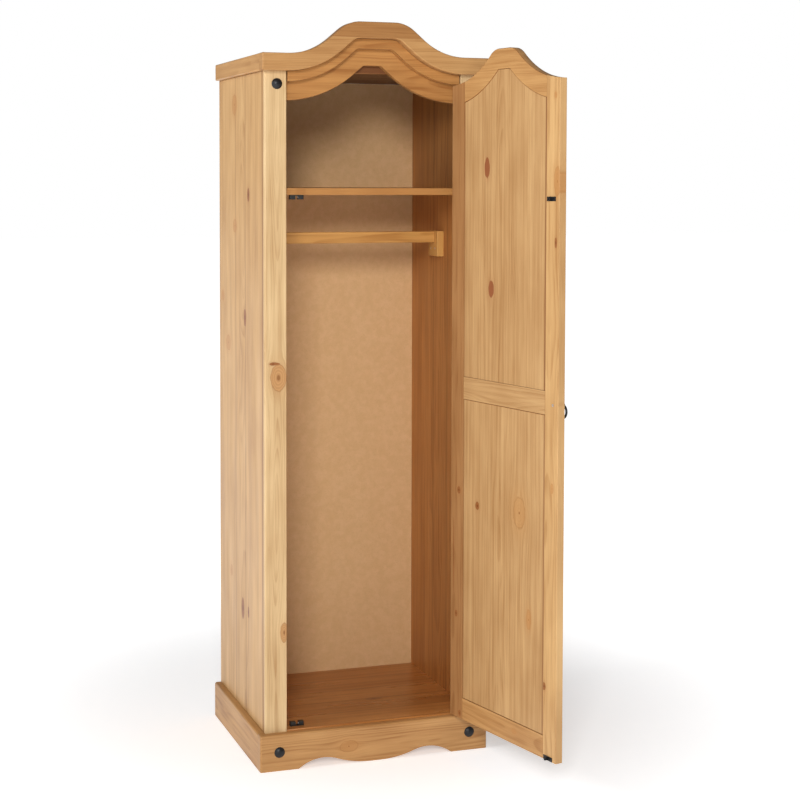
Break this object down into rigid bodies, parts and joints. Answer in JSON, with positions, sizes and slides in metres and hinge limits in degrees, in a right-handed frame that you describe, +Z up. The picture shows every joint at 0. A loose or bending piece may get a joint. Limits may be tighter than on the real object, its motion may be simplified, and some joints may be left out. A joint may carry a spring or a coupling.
{
  "type": "wardrobe",
  "caption": "Narrow waxed pine wardrobe with an arched cornice, a scalloped plinth, a panelled door on hinges, a shelf and a lift-out hanging rail.",
  "frame": {"origin": "floor level, middle of the width, in the plane of the rear faces", "axes": "+X to the right seen from the front, +Y to the back, +Z up; the front faces -Y"},
  "size_m": [0.637, 0.9407, 1.88],
  "materials": {
    "side_panel_left": "waxed honey pine",
    "side_panel_right": "waxed honey pine",
    "stile_left": "waxed honey pine",
    "stile_right": "waxed honey pine",
    "floor_panel": "waxed honey pine",
    "top_panel": "waxed honey pine",
    "hardboard": "smooth pressed board",
    "tack_steel": "dull",
    "shelf": "waxed honey pine",
    "beech": "bare",
    "arch_strip": "waxed honey pine",
    "door_stop": "waxed honey pine",
    "cornice_front": "waxed honey pine",
    "cornice_left": "waxed honey pine",
    "cornice_right": "waxed honey pine",
    "plinth_front": "waxed honey pine",
    "plinth_left": "waxed honey pine",
    "plinth_right": "waxed honey pine",
    "raw_pine": "bare, sawn",
    "rail_bracket_left": "waxed honey pine",
    "rail_bracket_right": "waxed honey pine",
    "steel": "polished",
    "black_metal": "satin black",
    "black_plastic": "smooth black",
    "door_hinge_stile": "waxed honey pine",
    "door_latch_stile": "waxed honey pine",
    "door_top_rail": "waxed honey pine",
    "door_mid_rail": "waxed honey pine",
    "door_bottom_rail": "waxed honey pine",
    "door_upper_panel": "waxed honey pine",
    "door_lower_panel": "waxed honey pine",
    "hanging_rail": "waxed honey pine"
  },
  "bodies": {
    "carcass": {"side_panel_left": "side_panel_left", "side_panel_right": "side_panel_right", "stile_left": "stile_left", "stile_right": "stile_right", "floor_panel": "floor_panel", "top_panel": "top_panel", "back_panel": "hardboard", "back_tacks": "tack_steel", "shelf": "shelf", "shelf_dowels": "beech", "arch_strip": "arch_strip", "door_stop": "door_stop", "cornice_front": "cornice_front", "cornice_left": "cornice_left", "cornice_right": "cornice_right", "plinth_front": "plinth_front", "plinth_left": "plinth_left", "plinth_right": "plinth_right", "plinth_rear": "raw_pine", "plinth_blocks": "raw_pine", "rail_bracket_left": "rail_bracket_left", "rail_bracket_right": "rail_bracket_right", "bracket_screws": "steel", "stile_studs": "black_metal", "plinth_studs": "black_metal", "catch_upper_case": "black_plastic", "catch_lower_case": "black_plastic", "catch_springs": "steel", "catch_caps": "black_plastic", "catch_screws": "black_metal", "hinge_frame_leaf_bottom": "black_metal", "hinge_frame_leaf_middle": "black_metal", "hinge_frame_leaf_top": "black_metal", "hinge_pin_bottom": "black_metal", "hinge_pin_middle": "black_metal", "hinge_pin_top": "black_metal", "hinge_frame_screws": "black_metal"},
    "door": {"door_hinge_stile": "door_hinge_stile", "door_latch_stile": "door_latch_stile", "door_top_rail": "door_top_rail", "door_mid_rail": "door_mid_rail", "door_bottom_rail": "door_bottom_rail", "door_upper_panel": "door_upper_panel", "door_lower_panel": "door_lower_panel", "pull_post": "black_metal", "pull_screw": "steel", "strike_upper": "black_metal", "strike_lower": "black_metal", "strike_screws": "black_metal", "hinge_door_leaf_bottom": "black_metal", "hinge_door_leaf_middle": "black_metal", "hinge_door_leaf_top": "black_metal", "hinge_door_screws": "black_metal"},
    "pull_ring": {"pull_ring": "black_metal"},
    "hanging_rail": {"hanging_rail": "hanging_rail"},
    "catch_upper_ball_left": {"catch_upper_ball_left": "steel"},
    "catch_upper_ball_right": {"catch_upper_ball_right": "steel"},
    "catch_lower_ball_left": {"catch_lower_ball_left": "steel"},
    "catch_lower_ball_right": {"catch_lower_ball_right": "steel"}
  },
  "joints": [
    {"name": "door_swing", "type": "hinge", "parent": "carcass", "child": "door", "pos_m": [0.23, -0.487, 0], "axis": [0, 0, 1], "range_deg": [-102.3, 72.7]},
    {"name": "ring_swing", "type": "hinge", "parent": "door", "child": "pull_ring", "pos_m": [0.32575, -0.91441, 0.9535], "axis": [0.213, -0.977, 0], "range_deg": [-5, 150]},
    {"name": "rail_lift", "type": "slide", "parent": "carcass", "child": "hanging_rail", "axis": [0, 0, 1], "range_m": [0, 0.06]},
    {"name": "catch_upper_press_left", "type": "slide", "parent": "carcass", "child": "catch_upper_ball_left", "axis": [-1, 0, 0], "range_m": [0, 0.0018], "stiffness_N_per_m": 1500},
    {"name": "catch_upper_press_right", "type": "slide", "parent": "carcass", "child": "catch_upper_ball_right", "axis": [1, 0, 0], "range_m": [0, 0.0018], "stiffness_N_per_m": 1500},
    {"name": "catch_lower_press_left", "type": "slide", "parent": "carcass", "child": "catch_lower_ball_left", "axis": [-1, 0, 0], "range_m": [0, 0.0018], "stiffness_N_per_m": 1500},
    {"name": "catch_lower_press_right", "type": "slide", "parent": "carcass", "child": "catch_lower_ball_right", "axis": [1, 0, 0], "range_m": [0, 0.0018], "stiffness_N_per_m": 1500}
  ]
}
